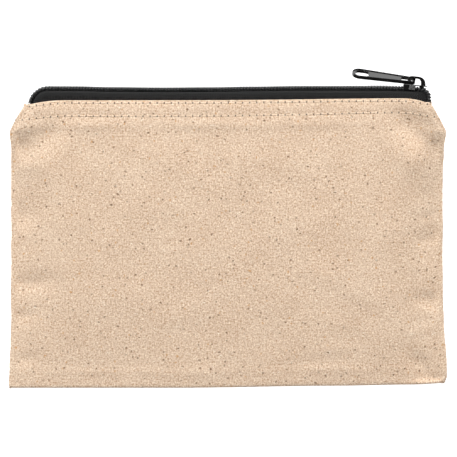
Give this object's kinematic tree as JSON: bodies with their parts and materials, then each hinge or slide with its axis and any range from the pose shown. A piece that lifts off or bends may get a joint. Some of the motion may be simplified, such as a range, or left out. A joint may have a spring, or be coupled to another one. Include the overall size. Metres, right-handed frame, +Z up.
{
  "type": "zippered pouch",
  "caption": "Flat cotton canvas pouch with a black coil zip along the top edge; keeps pencils, cards or toiletries together.",
  "frame": {"origin": "middle of the back panel's resting face, halfway across the bag", "axes": "+X along the zip towards its closed end, +Y from the bottom seam to the zip, +Z up through the front panel"},
  "size_m": [0.2158, 0.1572, 0.0135],
  "materials": {
    "canvas": "natural unbleached plain-weave cotton canvas with dark seed specks and pale slubs, matt",
    "sewing_thread": "cream spun polyester sewing thread, slight sheen",
    "zip_tape": "charcoal black woven polyester tape, matt",
    "zip_coil": "black nylon monofilament, half gloss",
    "black_enamel": "glossy black baked enamel on die-cast zinc"
  },
  "bodies": {
    "pouch": {"front_panel": "canvas", "back_panel": "canvas", "topstitch_front_edge": "sewing_thread", "topstitch_front_lower": "sewing_thread", "topstitch_back_edge": "sewing_thread", "topstitch_back_lower": "sewing_thread", "seam_thread_left": "sewing_thread", "seam_thread_right": "sewing_thread", "seam_thread_bottom": "sewing_thread", "overlock_left": "sewing_thread", "overlock_right": "sewing_thread", "overlock_bottom": "sewing_thread", "zip_tape_front": "zip_tape", "zip_tape_back": "zip_tape", "zip_coil_front": "zip_coil", "zip_coil_back": "zip_coil", "coil_stitching_front": "zip_coil", "coil_stitching_back": "zip_coil"},
    "slider": {"slider_body": "black_enamel", "slider_bridge": "black_enamel"},
    "pull": {"pull_tab": "black_enamel"}
  },
  "joints": [
    {"name": "slider_slide", "type": "slide", "parent": "pouch", "child": "slider", "axis": [1, 0, 0], "range_m": [-0.175, 0], "deforming": ["zip_coil_front", "zip_coil_back"]},
    {"name": "pull_swing", "type": "hinge", "parent": "slider", "child": "pull", "pos_m": [0.09169, 0.08026, 0.0068], "axis": [0, 0, -1], "range_deg": [-8, 165]}
  ]
}
